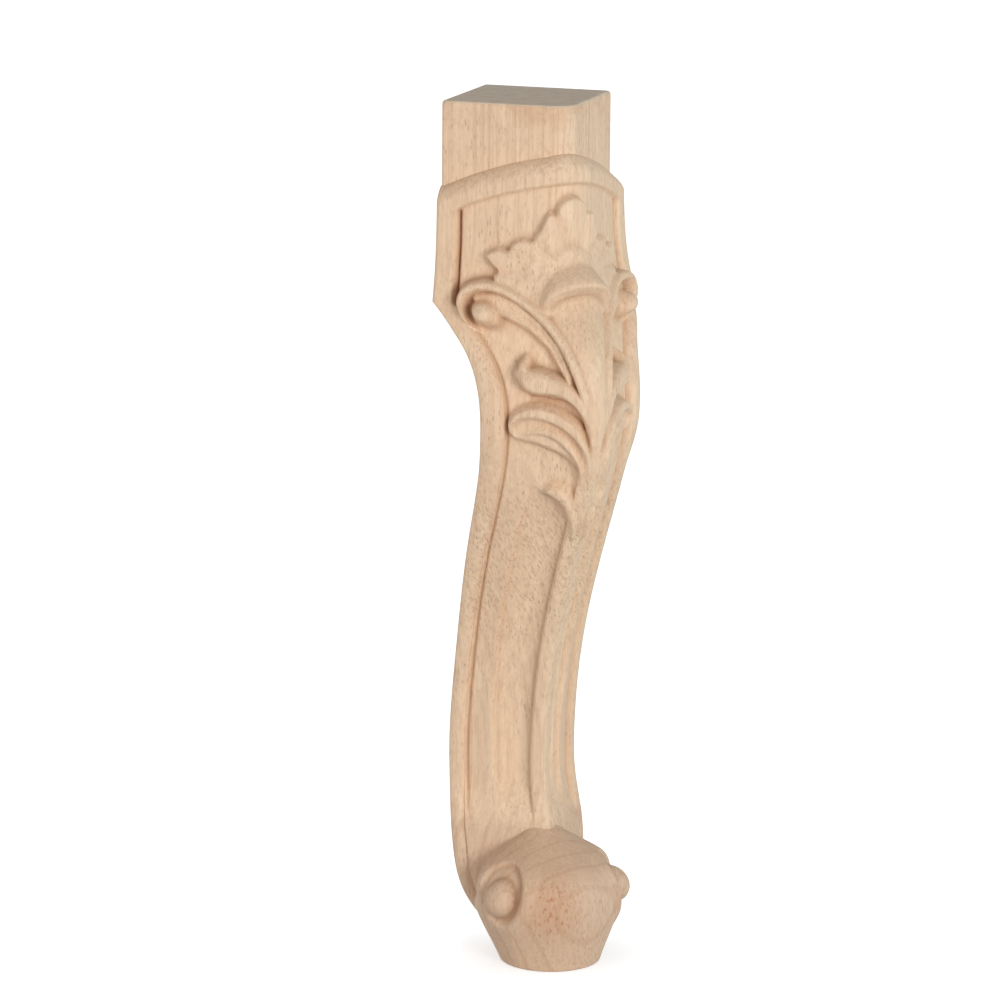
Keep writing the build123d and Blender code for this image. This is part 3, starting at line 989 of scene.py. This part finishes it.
@dataclass(frozen=True)
class ScrollFoot:
    """Round foot with a sloping hood, a small sole and a volute on each side."""

    profile: Curve = Curve((
        (16.2, 0), (18.3, 5), (20.6, 10), (22.9, 15.5), (24.2, 20.5), (24.3, 24), (23.5, 27.8), (21.7, 31.2),
        (18.9, 34), (14.6, 36.9), (9.8, 39.9), (5.2, 42.6), (1.6, 44.6), (0.5, 45.2),
    ))
    top: float = 45.2
    top_out: float = 12.9
    fullest: float = 24.0
    sole_ease: Span = (0.7, 0.25)
    sole_rise: float = 0.15
    nip: float = 0.2
    nip_zone: Span = (17, 25)
    nip_soft: float = 0.6
    volute_turn: float = 112.0
    volute_out: float = 24.6
    volute_reach: float = 0.5
    egg: Span = (0.90, 0.80)
    open_turn: float = 30.0
    knob: float = 4.9
    knob_sunk: float = 1.9
    knob_rise: float = 5.05
    knob_power: float = 0.85
    knob_blend: float = 0.15
    ring: float = 7.9
    ring_grows: float = 1.7
    ring_turn: Span = (-1.2, 1.6)
    moat: Span = (0.7, 1.4)
    moat_gap: float = 0.4
    moat_wall: float = 1.7
    bead: Span = (0.15, 1.25)
    bead_spread: Span = (1.7, 3.4)
    bead_power: float = 1.6
    # Painted shade in the hollows round the volutes.
    shade: Shade = Shade(30, 0.08, 0.8, 0.6)
    # Painted shade over the foot's upward-facing hood, fading in from 28 to 34 mm and full above.
    painted_hood_shade: float = 0.17
    hood_zone: Span = (28, 34)
    columns: int = 320
    rows: int = 118
    dense: int = 900
    sharp_deg: float = 60.0

    def volute(self, points: Array, out: Array, turn: float, hand: int) -> Array:
        """Height of one volute over the bulb.

        Args:
            points: Points of the bulb.
            out: Unit vectors out of the bulb's axis.
            turn: Direction of the volute in radians, from +p to +q.
            hand: Which way the front of the foot lies from the volute, 1 or -1.

        Returns:
            Heights of the points along the unit vectors.
        """
        way = np.array([math.cos(turn), math.sin(turn)])
        centre = self.top_out + way * self.volute_out
        side = (points[..., 0] - centre[0]) * -way[1] + (points[..., 1] - centre[1]) * way[0]
        rise = points[..., 2] - self.fullest
        away = np.hypot(side * self.egg[0], rise * self.egg[1])
        angle = np.arctan2(rise, hand * side)
        open_side = 0.5 + 0.5 * np.cos(angle - math.radians(self.open_turn))
        ring = self.ring + self.ring_grows * ramp(angle, self.ring_turn)
        egg = np.sqrt(np.clip(1.0 - (away / self.knob) ** 2, 0.0, 1.0))
        dome = -self.knob_sunk + self.knob_rise * egg**self.knob_power
        deep = self.moat[0] + self.moat[1] * open_side
        moat = -deep * smooth_step((ring - self.moat_gap - away) / self.moat_wall)
        spread = np.where(away > ring, self.bead_spread[1], self.bead_spread[0])
        proud = self.bead[0] + self.bead[1] * open_side
        bead = proud * np.clip(1.0 - ((away - ring) / spread) ** 2, 0.0, 1.0) ** self.bead_power
        height = soft_max(np.where(away < self.knob, dome, FAR_BELOW), moat + bead, self.knob_blend)
        return np.where(out @ way > self.volute_reach, height, 0.0)

    def bulb(self) -> tuple[Array, Array]:
        """Plain round foot, nipped in behind where it meets the shaft.

        Returns:
            Rows by columns by 3 of points, and unit vectors out of its axis.
        """
        dense = np.linspace(0.0, self.top, self.dense)
        run = np.hypot(np.diff(dense), np.diff(self.profile.at(dense)))
        run = np.concatenate([[0.0], np.cumsum(run)])
        z = np.interp(np.linspace(0.0, run[-1], self.rows), run, dense)
        z = np.concatenate([[0.0, self.sole_rise], z[1:]])
        r = self.profile.at(z)
        r[:2] -= self.sole_ease
        turn = np.linspace(0.0, 2.0 * math.pi, self.columns, endpoint=False) + math.pi + FRONT_TURN
        out = np.stack([np.cos(turn), np.sin(turn)], axis=-1)
        centre = SOLE_OUT + (self.top_out - SOLE_OUT) * z / self.fullest
        behind = smooth_step(-np.cos(turn - FRONT_TURN) / self.nip_soft)
        waist = 1.0 - self.nip * ramp(z, self.nip_zone)[:, None] * behind[None, :]
        points = np.zeros((len(z), self.columns, 3))
        points[..., :2] = centre[:, None, None] + (r[:, None] * waist)[..., None] * out[None]
        points[..., 2] = z[:, None]
        return points, np.broadcast_to(out[None], points.shape[:2] + (2,))

    def build(self) -> bpy.types.Object:
        """Models the foot.

        Returns:
            The mesh object.
        """
        points, ways = self.bulb()
        height = self.volute(points, ways, math.radians(self.volute_turn), -1)
        height += self.volute(points, ways, math.radians(90.0 - self.volute_turn), 1)
        height = blurred(height, 1)
        # Painted shade in the volutes' hollows, plus painted shade over the hood.
        painted_shade = self.shade.over(height) + self.painted_hood_shade * ramp(points[..., 2], self.hood_zone)
        points[..., :2] += height[..., None] * ways
        return wrapped_grid("scroll_foot", points, painted_shade, self.sharp_deg)


@dataclass(frozen=True)
class Lamp:
    """One soft square lamp that faces the leg.

    Azimuth 0 is in front of the left-hand face, the size is in metres and the energy in watts.
    """

    name: str
    azimuth: float
    elevation: float
    size: float
    energy: float
    tint: Triple = (1.0, 1.0, 1.0)


@dataclass(frozen=True)
class Studio:
    """White floor, soft light and the camera, in metres."""

    target: Vector = Vector((-0.0154, 0.0154, 0.140))
    azimuth: float = 18.0
    elevation: float = 12.5
    distance: float = 1.6
    roll: float = 0.5
    lens: float = 177.8
    sensor: float = 36.0
    shift: Span = (-0.0235, 0.0253)
    lamp_out: float = 1.7
    lamps: tuple[Lamp, ...] = (
        Lamp("key", 47, 9, 0.65, 16),
        Lamp("fill", -38, 9, 1.1, 10.8),
        Lamp("side", 100, 14, 1, 6, (0.55, 0.85, 1)),
    )
    floor_size: float = 12.0
    floor_grey: Tone = (0.60, 0.60, 0.60, 1.0)
    floor_reach: Span = (0.016, 0.055)
    floor_glow: Span = (0.62, 1.0)
    sky_reach: Span = (0.05, 0.75)
    sky_light: Span = (0.42, 0.19)
    white: Tone = (1.0, 1.0, 1.0, 1.0)

    def floor(self) -> None:
        """Lays the pale floor, white to the eye away from the foot."""
        bpy.ops.object.select_all(action="DESELECT")
        bpy.ops.mesh.primitive_plane_add(size=self.floor_size, location=(0.0, 0.0, 0.0))
        plane = bpy.context.active_object
        plane.name = "floor"
        paint = bpy.data.materials.new("pale_floor")
        paint.use_nodes = True
        paint.node_tree.nodes.clear()
        bench = Bench(paint.node_tree)
        matte = bench.add("BsdfDiffuse", {"Color": self.floor_grey})
        away = bench.length(bench.add("TexCoord").outputs["Object"])
        lift = bench.spread(away, self.floor_reach, self.floor_glow, "LINEAR")
        glow = bench.add("Emission", {"Strength": bench.scaled(lift, bench.eye_rays())})
        both = bench.add("AddShader", {0: matte.outputs[0], 1: glow.outputs[0]})
        bench.add("OutputMaterial", {0: both.outputs[0]})
        plane.data.materials.append(paint)

    def world(self) -> None:
        """Sets the room: white to the eye, and softer as light."""
        room = bpy.data.worlds.new("white_room")
        bpy.context.scene.world = room
        room.use_nodes = True
        room.node_tree.nodes.clear()
        bench = Bench(room.node_tree)
        way = bench.add("SeparateXYZ", {0: bench.add("TexCoord").outputs["Generated"]})
        strength = bench.spread(way.outputs["Z"], self.sky_reach, self.sky_light, "LINEAR")
        light = bench.add("Background", {"Color": self.white, "Strength": strength})
        seen = bench.add("Background", {"Color": self.white, "Strength": 1.0})
        blend = bench.add("MixShader", {0: bench.eye_rays(), 1: light.outputs[0], 2: seen.outputs[0]})
        bench.add("OutputWorld", {0: blend.outputs[0]})

    def toward(self, azimuth: float, elevation: float, distance: float) -> Vector:
        """Place seen from the leg's middle.

        Args:
            azimuth: Direction in degrees, 0 in front of the left-hand face.
            elevation: Height in degrees.
            distance: How far away, in metres.

        Returns:
            The place.
        """
        a, e = math.radians(azimuth), math.radians(elevation)
        way = Vector((math.sin(a) * math.cos(e), -math.cos(a) * math.cos(e), math.sin(e)))
        return self.target + way * distance

    def hang(self, lamp: Lamp) -> None:
        """Hangs one lamp facing the leg.

        Args:
            lamp: The lamp.
        """
        data = bpy.data.lights.new(lamp.name, "AREA")
        data.size = lamp.size
        data.energy = lamp.energy
        data.color = lamp.tint
        hung = bpy.data.objects.new(lamp.name, data)
        hung.location = self.toward(lamp.azimuth, lamp.elevation, self.lamp_out)
        hung.rotation_euler = (self.target - hung.location).to_track_quat("-Z", "Y").to_euler()
        bpy.context.scene.collection.objects.link(hung)

    def camera(self) -> None:
        """Sets up the camera."""
        data = bpy.data.cameras.new("camera")
        data.lens = self.lens
        data.sensor_width = self.sensor
        data.shift_x, data.shift_y = self.shift
        eye = bpy.data.objects.new("camera", data)
        place = self.toward(self.azimuth, self.elevation, self.distance)
        aim = (self.target - place).to_track_quat("-Z", "Y").to_matrix().to_4x4()
        roll = Matrix.Rotation(math.radians(self.roll), 4, "Z")
        eye.matrix_world = Matrix.Translation(place) @ aim @ roll
        bpy.context.scene.collection.objects.link(eye)
        bpy.context.scene.camera = eye

    def build(self) -> None:
        """Sets up floor, light and camera."""
        self.floor()
        self.world()
        for lamp in self.lamps:
            self.hang(lamp)
        self.camera()
        bpy.context.scene.view_settings.view_transform = "Standard"


def main() -> None:
    """Builds the leg and its studio."""
    logging.basicConfig(level=logging.INFO, format="%(message)s")
    wood = RubberWood().material()
    for maker in (CabrioleShaft(), ScrollFoot()):
        piece = maker.build()
        piece.data.materials.clear()
        piece.data.materials.append(wood)
        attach(piece, "root")
        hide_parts("carved_leg")
        LOG.info("%s: %d faces", piece.name, len(piece.data.polygons))
    Studio().build()


if __name__ == "__main__":
    main()
